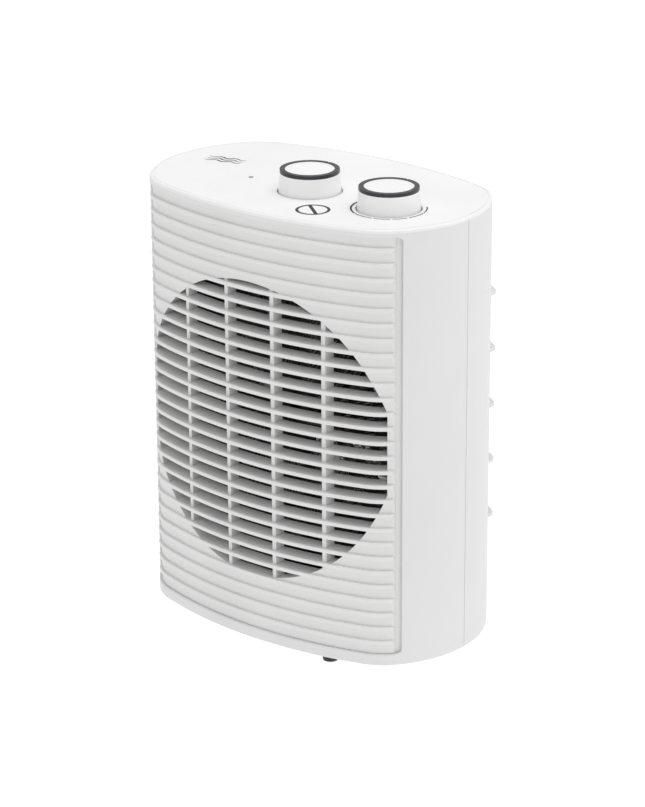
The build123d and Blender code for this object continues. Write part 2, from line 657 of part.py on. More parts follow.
def motor_screw(x):
    """Through screw that clamps both brackets on the stack."""
    head = screw_head(x, AXIS_Z, 3.0, BRACKET_REAR + 2, 2.0)
    return head + rod_y(x, AXIS_Z, 1.6, SUPPORT_REAR - 1.5, BRACKET_REAR + 2)


SUPPORT_FRONT = DUCT_REAR + 0.02
SUPPORT_REAR = SUPPORT_FRONT + 2.0


def motor_support():
    """Spider across the duct's rear end that carries the motor."""
    z = AXIS_Z
    plate = rod_y(0, z, 28, SUPPORT_FRONT, SUPPORT_REAR) - rod_y(0, z, 7, 0, 40)
    for k in range(4):
        arm = box(20, DUCT_RADIUS + 1.5, SUPPORT_FRONT, SUPPORT_REAR, -4, 4)
        plate += Pos(0, 0, z) * Rot(0, 45 + 90 * k, 0) * arm
    for x in (-22, 22):
        plate += rod_y(x, z, 4.0, SUPPORT_REAR - 0.5, BRACKET_FRONT - 0.02)
        plate -= rod_y(x, z, 1.6, SUPPORT_REAR - 1.5, BRACKET_FRONT + 1)
    return plate


def housing_screw(x, z):
    head = screw_head(x, z, 2.9, SCREW_SEAT, 2.0)
    return head + rod_y(x, z, 1.4, BOSS_FRONT + 4, SCREW_SEAT)


# tip-over switch

SPRING_LOW = 7.5
SPRING_HIGH = 15.5
PLUNGER_TOP = 22.0


def tip_plunger():
    cap = rod_z(PLUNGER_X, PLUNGER_CAP_Y, PLUNGER_CAP, -FOOT_HEIGHT, -0.3)
    cap = fillet(cap.edges().group_by(Axis.Z)[0], 0.6)
    stem = rod_z(PLUNGER_X, PLUNGER_Y, PLUNGER_STEM, -1, PLUNGER_TOP)
    collar = rod_z(PLUNGER_X, PLUNGER_Y, PLUNGER_STEM + 1.4, SPRING_LOW - 1.5, SPRING_LOW)
    return cap + stem + collar


def tip_spring():
    """Light compression spring between the plunger's collar and its guide."""
    turns, wire = 5, 0.35
    coil = PLUNGER_STEM + 0.8
    path = Helix(pitch=(SPRING_HIGH - SPRING_LOW - 2 * wire) / turns,
                 height=SPRING_HIGH - SPRING_LOW - 2 * wire, radius=coil)
    section = Plane(origin=path @ 0, z_dir=path % 0) * Circle(wire)
    spring = sweep(section, path=path)
    return Pos(PLUNGER_X, PLUNGER_Y, SPRING_LOW + wire) * spring


def tip_guide():
    """Bracket on the floor of the front casing that guides the stem and holds the spring."""
    x, y = PLUNGER_X, PLUNGER_Y
    plate = box(x - 8, x + 8, y - 0.5, y + 14, SPRING_HIGH + 0.05, SPRING_HIGH + 1.6)
    plate += box(x - 3.4, x + 3.4, y - 2.6, y, SPRING_HIGH + 0.05, SPRING_HIGH + 1.6)
    plate += box(x - 8, x + 8, y + 12.4, y + 14, WALL, SPRING_HIGH + 1.6)
    return plate - rod_z(x, y, PLUNGER_STEM + 0.3, 0, 40)


LEVER_PIVOT_Y = PLUNGER_Y + 3.5
LEVER_Z = PLUNGER_TOP + 0.12


def tip_switch():
    """Microswitch beside the plunger, with two cheeks that hold its lever."""
    x, y = PLUNGER_X, PLUNGER_Y
    switch = box(x - 7, x + 7, y + 4, y + 12.2, SPRING_HIGH + 1.62, SPRING_HIGH + 12)
    for side in (-1, 1):
        near, far = sorted((x + side * 2.3, x + side * 3.1))
        switch += box(near, far, y + 2.4, y + 4.5, LEVER_Z - 0.9, LEVER_Z + 1.4)
        low, high = sorted((x + side * 4.2, x + side * 5))
        switch += box(low, high, y + 6, y + 10, SPRING_HIGH + 11.5, SPRING_HIGH + 18)
    return switch


def tip_lever():
    """Thin lever that rests on the plunger and drops with it."""
    x, y = PLUNGER_X, PLUNGER_Y
    lever = box(x - 2, x + 2, y - 2.6, LEVER_PIVOT_Y + 0.1, LEVER_Z, LEVER_Z + 0.5)
    return lever + Pos(x, LEVER_PIVOT_Y, LEVER_Z + 0.25) * Rot(0, 90, 0) * Cylinder(0.25, 4.2)


def main():
    os.makedirs("parts", exist_ok=True)
    casing = casing_solid()
    save("front_casing", front_casing(casing))
    save("rear_casing", rear_casing(casing))
    save("top_cover", top_cover())
    save("front_grille", front_grille())
    save("rear_grille", rear_grille())
    for name, (x, y) in zip(("front_left", "front_right"), front_feet()):
        save(f"foot_{name}", foot(x, y))
    for name, (x, y) in zip(("rear_left", "rear_right"), rear_feet()):
        save(f"foot_{name}", foot(x, y))
    save("cord_inlet", cord_inlet())
    save("terminal_block", terminal_block())
    for name, x in (("selector", SELECTOR_X), ("thermostat", THERMOSTAT_X)):
        save(f"{name}_knob", knob(x))
        save(f"{name}_knob_ring", knob_ring(x))
        save(f"{name}_shaft", control_shaft(x))
    save("pilot_lens", pilot_lens())
    save("pilot_lamp", pilot_lamp())
    save("thermostat_body", thermostat())
    save("selector_switch", selector_switch())
    save("air_duct", air_duct())
    save("mica_board_level", mica_board(0, True))
    save("mica_board_upright", mica_board(90, False))
    save("heating_coil_front", heating_coil(COIL_Y[0]))
    save("heating_coil_rear", heating_coil(COIL_Y[1]))
    save("board_clips", [board_clip(90 * k) for k in range(4)])
    save("thermal_cutout", thermal_cutout())
    save("fan_impeller", fan_impeller())
    save("fan_clip", fan_clip())
    save("motor_shaft", motor_shaft())
    save("motor_rotor", motor_rotor())
    save("motor_stack", motor_stack())
    save("motor_bobbin", motor_bobbin())
    save("motor_winding", motor_winding())
    save("motor_bracket_front", bearing_bracket(BRACKET_FRONT, 1))
    save("motor_bracket_rear", bearing_bracket(BRACKET_REAR, -1))
    save("bush_front", bush(BRACKET_FRONT))
    save("bush_rear", bush(BRACKET_REAR))
    save("motor_support", motor_support())
    save("motor_screws", [motor_screw(-22), motor_screw(22)])
    save("casing_screws", [housing_screw(x, z) for x, z in boss_places()])
    save("tip_plunger", tip_plunger())
    save("tip_spring", tip_spring())
    save("tip_guide", tip_guide())
    save("tip_switch", tip_switch())
    save("tip_lever", tip_lever())


main()
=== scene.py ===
import json
import math

import bmesh
import bpy
from mathutils import Matrix, Vector


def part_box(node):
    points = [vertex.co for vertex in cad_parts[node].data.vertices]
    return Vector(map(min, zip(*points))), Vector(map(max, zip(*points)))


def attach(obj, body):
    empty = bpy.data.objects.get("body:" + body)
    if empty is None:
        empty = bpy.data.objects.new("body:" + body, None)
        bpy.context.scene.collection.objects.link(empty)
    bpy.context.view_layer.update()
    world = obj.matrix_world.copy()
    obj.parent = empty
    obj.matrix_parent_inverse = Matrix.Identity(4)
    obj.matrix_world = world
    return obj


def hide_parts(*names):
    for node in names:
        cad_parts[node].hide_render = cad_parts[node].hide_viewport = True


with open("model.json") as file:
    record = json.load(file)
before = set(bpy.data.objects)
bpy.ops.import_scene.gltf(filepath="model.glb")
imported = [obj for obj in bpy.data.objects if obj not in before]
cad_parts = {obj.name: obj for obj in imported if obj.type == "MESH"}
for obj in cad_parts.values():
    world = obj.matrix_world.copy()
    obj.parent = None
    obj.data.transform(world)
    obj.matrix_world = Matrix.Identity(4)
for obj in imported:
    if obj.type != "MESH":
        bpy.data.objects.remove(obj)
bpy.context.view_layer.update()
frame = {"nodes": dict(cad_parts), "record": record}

nodes = frame["nodes"]
mm = 0.001

# landmarks read off the frame
casingLow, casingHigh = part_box("front_casing")
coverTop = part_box("top_cover")[1].z
seamY = casingHigh.y  # the front and rear casings meet in this plane
shellMiddle = Vector((0, seamY, (casingLow.z + coverTop) / 2))


def middleOf(node):
    low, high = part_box(node)
    return (low + high) / 2


selectorMiddle = middleOf("selector_knob")
thermostatMiddle = middleOf("thermostat_knob")

# camera and light

studio = {
    "azimuth": 39.1025, "elevation": 20.3487, "roll": -0.3515, "distance": 1.71634,
    "lens": 136.19, "shiftX": 0.0030, "shiftY": -0.0075,
    "sky": 0.58, "paper": (0.4, 0.4, 0.4), "paperGlow": 0.78, "floorReach": 6.0,
    # name, place, size and watts of each soft light
    "lights": (
        ("overheadBox", (0.1, 0.1, 1.5), (1.6, 1.4), 11.6),
        ("rightBox", (1.2, 1.0, 0.6), (1.0, 1.2), 2.2),
        ("frontBox", (0.9, -1.4, 0.9), (1.0, 1.0), 1.2),
    ),
}


def makeCamera():
    a, e = math.radians(studio["azimuth"]), math.radians(studio["elevation"])
    back = Vector((math.sin(a) * math.cos(e), -math.cos(a) * math.cos(e), math.sin(e)))
    data = bpy.data.cameras.new("camera")
    data.sensor_fit = "AUTO"
    data.sensor_width = 36
    data.lens = studio["lens"]
    data.shift_x, data.shift_y = studio["shiftX"], studio["shiftY"]
    data.clip_start, data.clip_end = 0.05, 50
    camera = bpy.data.objects.new("camera", data)
    bpy.context.scene.collection.objects.link(camera)
    turn = (-back).to_track_quat("-Z", "Y").to_matrix().to_4x4()
    roll = Matrix.Rotation(math.radians(studio["roll"]), 4, "Z")
    camera.matrix_world = Matrix.Translation(shellMiddle + back * studio["distance"]) @ turn @ roll
    bpy.context.scene.camera = camera


def softLight(name, place, size, watts):
    data = bpy.data.lights.new(name, "AREA")
    data.shape = "RECTANGLE"
    data.size, data.size_y = size
    data.energy = watts
    light = bpy.data.objects.new(name, data)
    bpy.context.scene.collection.objects.link(light)
    light.location = place
    aim = shellMiddle - Vector(place)
    light.rotation_mode = "QUATERNION"
    light.rotation_quaternion = aim.to_track_quat("-Z", "Y")


def makeStudio():
    world = bpy.data.worlds.new("paleStudio")
    bpy.context.scene.world = world
    world.use_nodes = True
    sky = world.node_tree.nodes["Background"]
    sky.inputs["Color"].default_value = (1, 1, 1, 1)
    sky.inputs["Strength"].default_value = studio["sky"]
    for light in studio["lights"]:
        softLight(*light)
    floorMesh = bpy.data.meshes.new("studioFloor")
    reach = studio["floorReach"]
    corners = [(-reach, -reach, 0), (reach, -reach, 0), (reach, reach, 0), (-reach, reach, 0)]
    floorMesh.from_pydata(corners, [], [(0, 1, 2, 3)])
    floor = bpy.data.objects.new("studioFloor", floorMesh)
    bpy.context.scene.collection.objects.link(floor)
    paper = bpy.data.materials.new("studioPaper")
    paper.use_nodes = True
    shader = paper.node_tree.nodes["Principled BSDF"]
    shader.inputs["Base Color"].default_value = (*studio["paper"], 1)
    shader.inputs["Emission Color"].default_value = (1, 1, 1, 1)
    shader.inputs["Emission Strength"].default_value = studio["paperGlow"]
    shader.inputs["Roughness"].default_value = 0.9
    shader.inputs["Specular IOR Level"].default_value = 0.1
    floor.data.materials.append(paper)
    bpy.context.scene.view_settings.view_transform = "Standard"
    print("camera, lights and floor are set")


makeCamera()
makeStudio()

# shared effects


def newGroup(name, inputs, outputs):
    tree = bpy.data.node_groups.new(name, "ShaderNodeTree")
    for label, kind, value in inputs:
        socket = tree.interface.new_socket(name=label, in_out="INPUT", socket_type=kind)
        socket.default_value = value
    for label, kind in outputs:
        tree.interface.new_socket(name=label, in_out="OUTPUT", socket_type=kind)
    start, end = tree.nodes.new("NodeGroupInput"), tree.nodes.new("NodeGroupOutput")
    return tree, start, end


def add(tree, kind, links=None, values=None, **settings):
    node = tree.nodes.new(kind)
    for key, value in settings.items():
        setattr(node, key, value)
    for key, value in (values or {}).items():
        node.inputs[key].default_value = value
    for key, source in (links or {}).items():
        tree.links.new(source, node.inputs[key])
    return node


def math2(tree, how, a, b=None):
    node = add(tree, "ShaderNodeMath", operation=how)
    for index, value in enumerate((a, b)):
        if value is None:
            continue
        if isinstance(value, (int, float)):
            node.inputs[index].default_value = value
        else:
            tree.links.new(value, node.inputs[index])
    return node.outputs[0]


def remap(tree, value, low, high, toLow, toHigh):
    node = add(tree, "ShaderNodeMapRange", links={"Value": value})
    for key, number in (("From Min", low), ("From Max", high), ("To Min", toLow), ("To Max", toHigh)):
        if isinstance(number, (int, float)):
            node.inputs[key].default_value = number
        else:
            tree.links.new(number, node.inputs[key])
    return node.outputs["Result"]


def noise(tree, where, scale, detail=3.0, rough=0.55):
    node = add(tree, "ShaderNodeTexNoise", links={"Vector": where},
               values={"Detail": detail, "Roughness": rough})
    if isinstance(scale, (int, float)):
        node.inputs["Scale"].default_value = scale
    else:
        tree.links.new(scale, node.inputs["Scale"])
    return node.outputs["Fac"]


def mouldedSkinGroup():
    # spark-eroded mould texture: fine grain, slow shade drift and faint flow marks
    tree, start, end = newGroup(
        "mouldedSkin",
        [("Colour", "NodeSocketColor", (0.8, 0.8, 0.8, 1)), ("Grain Size", "NodeSocketFloat", 1500.0),
         ("Drift", "NodeSocketFloat", 0.03), ("Roughness", "NodeSocketFloat", 0.45),
         ("Roughness Spread", "NodeSocketFloat", 0.08)],
        [("Colour", "NodeSocketColor"), ("Roughness", "NodeSocketFloat"), ("Height", "NodeSocketFloat")])
    where = add(tree, "ShaderNodeTexCoord").outputs["Object"]
    grain = noise(tree, where, start.outputs["Grain Size"], 2.0, 0.6)
    slow = noise(tree, where, 14.0, 3.0, 0.5)
    stretched = add(tree, "ShaderNodeMapping", links={"Vector": where}, values={"Scale": (30, 30, 6)})
    flow = noise(tree, stretched.outputs[0], 1.0, 4.0, 0.55)
    drift = math2(tree, "MULTIPLY", remap(tree, slow, 0.3, 0.7, -1.0, 1.0), start.outputs["Drift"])
    flowShade = math2(tree, "MULTIPLY", remap(tree, flow, 0.3, 0.7, -0.4, 0.4), start.outputs["Drift"])
    speck = math2(tree, "MULTIPLY", remap(tree, grain, 0.3, 0.7, -0.35, 0.35), start.outputs["Drift"])
    shade = math2(tree, "ADD", math2(tree, "ADD", drift, flowShade), math2(tree, "ADD", speck, 1.0))
    tone = add(tree, "ShaderNodeVectorMath", operation="SCALE",
               links={0: start.outputs["Colour"], "Scale": shade})
    spread = math2(tree, "MULTIPLY", remap(tree, slow, 0.3, 0.7, -1.0, 1.0),
                   start.outputs["Roughness Spread"])
    rough = math2(tree, "ADD", start.outputs["Roughness"], spread)
    tree.links.new(tone.outputs[0], end.inputs["Colour"])
    tree.links.new(rough, end.inputs["Roughness"])
    tree.links.new(grain, end.inputs["Height"])
    return tree


def settledDustGroup():
    # thin pale dust on faces that look up, broken by noise
    tree, start, end = newGroup(
        "settledDust",
        [("Colour", "NodeSocketColor", (0.8, 0.8, 0.8, 1)), ("Roughness", "NodeSocketFloat", 0.4),
         ("Dust Colour", "NodeSocketColor", (0.62, 0.6, 0.57, 1)), ("Amount", "NodeSocketFloat", 0.1)],
        [("Colour", "NodeSocketColor"), ("Roughness", "NodeSocketFloat"), ("Mask", "NodeSocketFloat")])
    geometry = add(tree, "ShaderNodeNewGeometry")
    up = add(tree, "ShaderNodeSeparateXYZ", links={0: geometry.outputs["Normal"]}).outputs["Z"]
    where = add(tree, "ShaderNodeTexCoord").outputs["Object"]
    patch = remap(tree, noise(tree, where, 60.0, 5.0, 0.65), 0.42, 0.68, 0.15, 1.0)
    lying = math2(tree, "MULTIPLY", remap(tree, up, 0.2, 0.95, 0.0, 1.0), patch)
    mask = math2(tree, "MULTIPLY", lying, start.outputs["Amount"])
    mix = add(tree, "ShaderNodeMix", data_type="RGBA",
              links={"Factor": mask, "A": start.outputs["Colour"], "B": start.outputs["Dust Colour"]})
    rough = add(tree, "ShaderNodeMix", data_type="FLOAT",
                links={"Factor": mask, "A": start.outputs["Roughness"]}, values={"B": 0.9})
    tree.links.new(mix.outputs["Result"], end.inputs["Colour"])
    tree.links.new(rough.outputs["Result"], end.inputs["Roughness"])
    tree.links.new(mask, end.inputs["Mask"])
    return tree


def rolledMetalGroup():
    # drawn or rolled stock: long streaks along one axis, with blotches of oxide or plating
    tree, start, end = newGroup(
        "rolledMetal",
        [("Colour", "NodeSocketColor", (0.6, 0.6, 0.6, 1)),
         ("Tarnish", "NodeSocketColor", (0.3, 0.28, 0.25, 1)),
         ("Tarnish Amount", "NodeSocketFloat", 0.2), ("Streak Scale", "NodeSocketVector", (2000, 60, 2000)),
         ("Roughness", "NodeSocketFloat", 0.35)],
        [("Colour", "NodeSocketColor"), ("Roughness", "NodeSocketFloat"), ("Height", "NodeSocketFloat")])
    where = add(tree, "ShaderNodeTexCoord").outputs["Object"]
    stretched = add(tree, "ShaderNodeVectorMath", operation="MULTIPLY",
                    links={0: where, 1: start.outputs["Streak Scale"]})
    streak = noise(tree, stretched.outputs[0], 1.0, 4.0, 0.6)
    blotch = noise(tree, where, 110.0, 5.0, 0.6)
    patch = math2(tree, "MULTIPLY", remap(tree, blotch, 0.45, 0.7, 0.0, 1.0),
                  start.outputs["Tarnish Amount"])
    mix = add(tree, "ShaderNodeMix", data_type="RGBA",
              links={"Factor": patch, "A": start.outputs["Colour"], "B": start.outputs["Tarnish"]})
    tone = add(tree, "ShaderNodeVectorMath", operation="SCALE",
               links={0: mix.outputs["Result"], "Scale": remap(tree, streak, 0.3, 0.7, 0.85, 1.1)})
    rough = math2(tree, "ADD", start.outputs["Roughness"], remap(tree, streak, 0.3, 0.7, -0.08, 0.12))
    tree.links.new(tone.outputs[0], end.inputs["Colour"])
    tree.links.new(rough, end.inputs["Roughness"])
    tree.links.new(streak, end.inputs["Height"])
    return tree


mouldedSkin = mouldedSkinGroup()
settledDust = settledDustGroup()
rolledMetal = rolledMetalGroup()
print("shared effects are ready")

# finishes


def newMaterial(name):
    material = bpy.data.materials.new(name)
    material.use_nodes = True
    tree = material.node_tree
    return material, tree, tree.nodes["Principled BSDF"]


def useGroup(tree, group, **values):
    node = tree.nodes.new("ShaderNodeGroup")
    node.node_tree = group
    for label, value in values.items():
        node.inputs[label.replace("_", " ")].default_value = value
    return node


def bumpInto(tree, shader, height, strength, distance):
    bump = add(tree, "ShaderNodeBump", links={"Height": height},
               values={"Strength": strength, "Distance": distance})
    tree.links.new(bump.outputs[0], shader.inputs["Normal"])


def plastic(name, colour, rough=0.42, spread=0.06, drift=0.02, grain=1500.0, bump=0.12, dust=0.0,
            coat=0.0, specular=0.5, scatter=0.0):
    material, tree, shader = newMaterial(name)
    skin = useGroup(tree, mouldedSkin, Colour=(*colour, 1), Grain_Size=grain, Drift=drift,
                    Roughness=rough, Roughness_Spread=spread)
    colourOut, roughOut = skin.outputs["Colour"], skin.outputs["Roughness"]
    if dust:
        layer = useGroup(tree, settledDust, Amount=dust)
        tree.links.new(colourOut, layer.inputs["Colour"])
        tree.links.new(roughOut, layer.inputs["Roughness"])
        colourOut, roughOut = layer.outputs["Colour"], layer.outputs["Roughness"]
    tree.links.new(colourOut, shader.inputs["Base Color"])
    tree.links.new(roughOut, shader.inputs["Roughness"])
    bumpInto(tree, shader, skin.outputs["Height"], bump, 0.0001)
    shader.inputs["Specular IOR Level"].default_value = specular
    if coat:
        shader.inputs["Coat Weight"].default_value = coat
        shader.inputs["Coat Roughness"].default_value = 0.12
    if scatter:
        shader.inputs["Subsurface Weight"].default_value = scatter
        shader.inputs["Subsurface Radius"].default_value = (1.0, 0.95, 0.9)
        shader.inputs["Subsurface Scale"].default_value = 0.0015
    return material


def metal(name, colour, tarnish, amount=0.2, streak=(2000, 60, 2000), rough=0.35, bump=0.1):
    material, tree, shader = newMaterial(name)
    stock = useGroup(tree, rolledMetal, Colour=(*colour, 1), Tarnish=(*tarnish, 1),
                     Tarnish_Amount=amount, Streak_Scale=streak, Roughness=rough)
    tree.links.new(stock.outputs["Colour"], shader.inputs["Base Color"])
    tree.links.new(stock.outputs["Roughness"], shader.inputs["Roughness"])
    shader.inputs["Metallic"].default_value = 1.0
    bumpInto(tree, shader, stock.outputs["Height"], bump, 0.0001)
    return material


def micaSheet():
    # pressed flakes: cells of slightly different brown, a silvery fleck here and there; the browns are far
    # darker than mica's own colour, painted shade for the inside of the case
    material, tree, shader = newMaterial("micaSheet")
    where = add(tree, "ShaderNodeTexCoord").outputs["Object"]
    flakes = add(tree, "ShaderNodeTexVoronoi", links={"Vector": where}, values={"Scale": 420.0})
    cell = add(tree, "ShaderNodeSeparateColor", links={0: flakes.outputs["Color"]}).outputs[0]
    ramp = add(tree, "ShaderNodeValToRGB", links={"Fac": cell})
    # dark browns: painted shade inside the case
    ramp.color_ramp.elements[0].color = (0.05, 0.04, 0.03, 1)
    ramp.color_ramp.elements[1].color = (0.11, 0.09, 0.065, 1)
    fleck = ramp.color_ramp.elements.new(0.94)
    fleck.color = (0.09, 0.07, 0.05, 1)
    ramp.color_ramp.elements[2].color = (0.2, 0.18, 0.14, 1)
    tree.links.new(ramp.outputs[0], shader.inputs["Base Color"])
    tree.links.new(remap(tree, cell, 0.0, 1.0, 0.55, 0.3), shader.inputs["Roughness"])
    bumpInto(tree, shader, cell, 0.25, 0.0002)
    return material


def rubber(name, colour):
    return plastic(name, colour, rough=0.75, spread=0.08, drift=0.15, grain=900.0, bump=0.25,
                   dust=0.25, specular=0.3)


def lensFinish():
    material, tree, shader = newMaterial("pilotLens")
    skin = useGroup(tree, mouldedSkin, Colour=(0.27, 0.25, 0.245, 1), Grain_Size=800.0, Drift=0.12,
                    Roughness=0.14, Roughness_Spread=0.05)
    tree.links.new(skin.outputs["Colour"], shader.inputs["Base Color"])
    tree.links.new(skin.outputs["Roughness"], shader.inputs["Roughness"])
    shader.inputs["Coat Weight"].default_value = 0.6
    return material


def lampGlass():
    material, tree, shader = newMaterial("lampGlass")
    skin = useGroup(tree, mouldedSkin, Colour=(0.9, 0.78, 0.62, 1), Grain_Size=300.0, Drift=0.05,
                    Roughness=0.06, Roughness_Spread=0.03)
    tree.links.new(skin.outputs["Colour"], shader.inputs["Base Color"])
    tree.links.new(skin.outputs["Roughness"], shader.inputs["Roughness"])
    shader.inputs["Transmission Weight"].default_value = 0.9
    return material


def laminations():
    # thin sheets stacked along Y, oil-blued, with darker lines between them
    material, tree, shader = newMaterial("laminations")
    stock = useGroup(tree, rolledMetal, Colour=(0.2, 0.2, 0.22, 1), Tarnish=(0.16, 0.09, 0.05, 1),
                     Tarnish_Amount=0.5, Streak_Scale=(60, 2400, 60), Roughness=0.5)
    where = add(tree, "ShaderNodeTexCoord").outputs["Object"]
    sheets = add(tree, "ShaderNodeTexWave", links={"Vector": where}, bands_direction="Y",
                 values={"Scale": 320.0, "Distortion": 0.3})
    line = remap(tree, sheets.outputs["Fac"], 0.0, 0.3, 0.35, 1.0)
    tone = add(tree, "ShaderNodeVectorMath", operation="SCALE",
               links={0: stock.outputs["Colour"], "Scale": line})
    tree.links.new(tone.outputs[0], shader.inputs["Base Color"])
    tree.links.new(stock.outputs["Roughness"], shader.inputs["Roughness"])
    shader.inputs["Metallic"].default_value = 0.8
    bumpInto(tree, shader, sheets.outputs["Fac"], 0.4, 0.0003)
    return material


# copies of one white plastic, each set lighter or darker to reach its lit tone: painted light and shade.
# The cover's lighter white paints the extra light from above on the top face; the knob's lighter white
# paints light on its sides.
whitesWithPaintedLight = {"casing": (0.765, 0.765, 0.765), "cover": (0.86, 0.86, 0.86), "grille": (0.78, 0.78, 0.775),
              "rear": (0.77, 0.77, 0.77), "knob": (0.92, 0.92, 0.92)}

finishes = {
    "casing_plastic": plastic("casingPlastic", whitesWithPaintedLight["casing"], rough=0.46, grain=1700.0,
                              bump=0.16, dust=0.02),
    # lighter white than the casing: painted light from above on the top face
    "cover_plastic": plastic("coverPlastic", whitesWithPaintedLight["cover"], rough=0.5, grain=1700.0,
                             bump=0.16, dust=0.03),
    "grille_plastic": plastic("grillePlastic", whitesWithPaintedLight["grille"], rough=0.48, grain=1700.0,
                              bump=0.12, dust=0.02),
    "rear_grille_plastic": plastic("rearGrillePlastic", whitesWithPaintedLight["rear"], rough=0.48,
                                   bump=0.12, dust=0.04),
    "foot_rubber": rubber("footRubber", (0.028, 0.028, 0.03)),
    "inlet_rubber": rubber("inletRubber", (0.04, 0.04, 0.042)),
    "natural_nylon": plastic("naturalNylon", (0.72, 0.69, 0.58), rough=0.38, drift=0.05, grain=500.0,
                             bump=0.08, scatter=0.3),
    # lighter white: painted light on the knob's sides
    "knob_plastic": plastic("knobPlastic", whitesWithPaintedLight["knob"], rough=0.33, grain=2200.0, bump=0.05,
                            coat=0.15),
    "ring_plastic": plastic("ringPlastic", (0.018, 0.02, 0.026), rough=0.3, drift=0.2,
                            grain=1400.0, bump=0.1, dust=0.03),
    "shaft_steel": metal("shaftSteel", (0.58, 0.58, 0.6), (0.3, 0.27, 0.24), 0.15, (1800, 1800, 60)),
    "lens_plastic": lensFinish(),
    "lamp_glass": lampGlass(),
    "thermostat_steel": metal("thermostatSteel", (0.62, 0.61, 0.58), (0.36, 0.3, 0.2), 0.3),
    "black_phenolic": plastic("blackPhenolic", (0.03, 0.027, 0.025), rough=0.5, drift=0.25,
                              grain=700.0, bump=0.2, dust=0.15),
    "duct_paint": plastic("ductPaint", (0.03, 0.028, 0.027), rough=0.6, drift=0.3, grain=650.0,
                          bump=0.3, dust=0.12, specular=0.4),
    "mica": micaSheet(),
    "nichrome": metal("nichrome", (0.34, 0.31, 0.29), (0.14, 0.1, 0.08), 0.6, (700, 700, 700), 0.5),
    "sheet_steel": metal("zincSheet", (0.62, 0.63, 0.65), (0.42, 0.41, 0.38), 0.35, (60, 900, 900)),
    "fan_plastic": plastic("fanPlastic", (0.034, 0.032, 0.031), rough=0.46, drift=0.2, grain=900.0,
                           bump=0.15, dust=0.1),
    "rotor_aluminium": metal("rotorAluminium", (0.66, 0.66, 0.67), (0.3, 0.29, 0.28), 0.3,
                             (60, 1800, 1800)),
    "lamination_steel": laminations(),
    "copper_wire": metal("copperWire", (0.5, 0.17, 0.07), (0.25, 0.07, 0.03), 0.4,
                         (900, 60, 900), 0.3),
    "bronze": metal("sinteredBronze", (0.5, 0.33, 0.16), (0.2, 0.12, 0.06), 0.5,
                    (900, 900, 900), 0.5),
    "screw_steel": metal("screwSteel", (0.56, 0.56, 0.57), (0.3, 0.28, 0.25), 0.25,
                         (900, 900, 900), 0.38),
    "plunger_plastic": plastic("plungerPlastic", (0.02, 0.02, 0.022), rough=0.4, drift=0.2,
                               grain=900.0, bump=0.15),
    "spring_steel": metal("springSteel", (0.62, 0.62, 0.63), (0.35, 0.33, 0.3), 0.15,
                          (60, 60, 1800), 0.28),
}

for part in frame["record"]["subparts"]:
    shape = nodes[part["node"]].data
    shape.materials.clear()
    shape.materials.append(finishes[part["material_slot"]])
print("every sub-part has its finish")

# helpers for pieces


def linkObject(name, data):
    piece = bpy.data.objects.new(name, data)
    bpy.context.scene.collection.objects.link(piece)
    return piece


def wireCurve(name, lines, radius, material):
    # each line is a list of points; the bevel gives the wire its thickness
    curve = bpy.data.curves.new(name, "CURVE")
    curve.dimensions = "3D"
    curve.bevel_depth = radius
    curve.bevel_resolution = 1
    curve.use_fill_caps = True
    for points in lines:
        spline = curve.splines.new("POLY")
        spline.points.add(len(points) - 1)
        for place, point in zip(spline.points, points):
            place.co = (*point, 1)
        spline.use_smooth = True
    curve.materials.append(material)
    return linkObject(name, curve)


def flatPiece(name, material, thickness):
    # a mesh drawn flat and facing up, given its thickness by a modifier
    mesh = bpy.data.meshes.new(name)
    mesh.materials.append(material)
    piece = linkObject(name, mesh)
    solid = piece.modifiers.new("thickness", "SOLIDIFY")
    solid.thickness = thickness
    solid.offset = -1
    return piece, mesh


def strip(form, points, widths, z):
    # a ribbon along flat points, with its own width at each point
    rows = []
    for index, (x, y) in enumerate(points):
        before, after = points[max(index - 1, 0)], points[min(index + 1, len(points) - 1)]
        along = Vector((after[0] - before[0], after[1] - before[1])).normalized()
        side = Vector((-along.y, along.x)) * widths[index] / 2
        rows.append((form.verts.new((x + side.x, y + side.y, z)),
                     form.verts.new((x - side.x, y - side.y, z))))
    for (a, b), (c, d) in zip(rows, rows[1:]):
        form.faces.new((a, b, d, c))


def arcPoints(centre, radius, start, end, step=4.0):
    count = max(2, int(abs(end - start) / step))
    turns = [math.radians(start + (end - start) * k / count) for k in range(count + 1)]
    return [(centre.x + radius * math.cos(t), centre.y + radius * math.sin(t)) for t in turns]


# heating coils, wound from one wire

coilWork = {
    "rings": 3, "ringStep": 16 * mm, "coilRadius": 2.08 * mm, "wireRadius": 0.3 * mm, "pitch": 2.2 * mm,
    "stepsPerTurn": 10, "gap": math.radians(11), "startsAt": math.radians(96),
}


def windCoil(node, name):
    low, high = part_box(node)
    middle = (low + high) / 2
    tube = (high.y - low.y) / 2
    outermost = (high.x - low.x) / 2 - tube
    radii = [outermost - coilWork["ringStep"] * k for k in reversed(range(coilWork["rings"]))]
    line = []
    for radius in radii:
        sweep = 2 * math.pi - 2 * coilWork["gap"]
        turns = round(radius * sweep / coilWork["pitch"])
        steps = turns * coilWork["stepsPerTurn"]
        for k in range(steps + 1):
            around = coilWork["startsAt"] + coilWork["gap"] + sweep * k / steps
            roll = 2 * math.pi * turns * k / steps
            reach = radius + coilWork["coilRadius"] * math.cos(roll)
            line.append((middle.x + reach * math.cos(around),
                         middle.y + coilWork["coilRadius"] * math.sin(roll),
                         middle.z + reach * math.sin(around)))
    coil = wireCurve(name, [line], coilWork["wireRadius"], finishes["nichrome"])
    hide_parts(node)
    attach(coil, "casing")


windCoil("heating_coil_front", "frontCoil")
windCoil("heating_coil_rear", "rearCoil")
print("heating coils are wound")

# motor winding

windingWork = {
    "wireRadius": 0.3 * mm, "pitch": 0.62 * mm, "corner": 3.2 * mm, "cornerSteps": 4,
    "layers": 2, "layerStep": 1.75,  # wire radii from one layer to the next
}


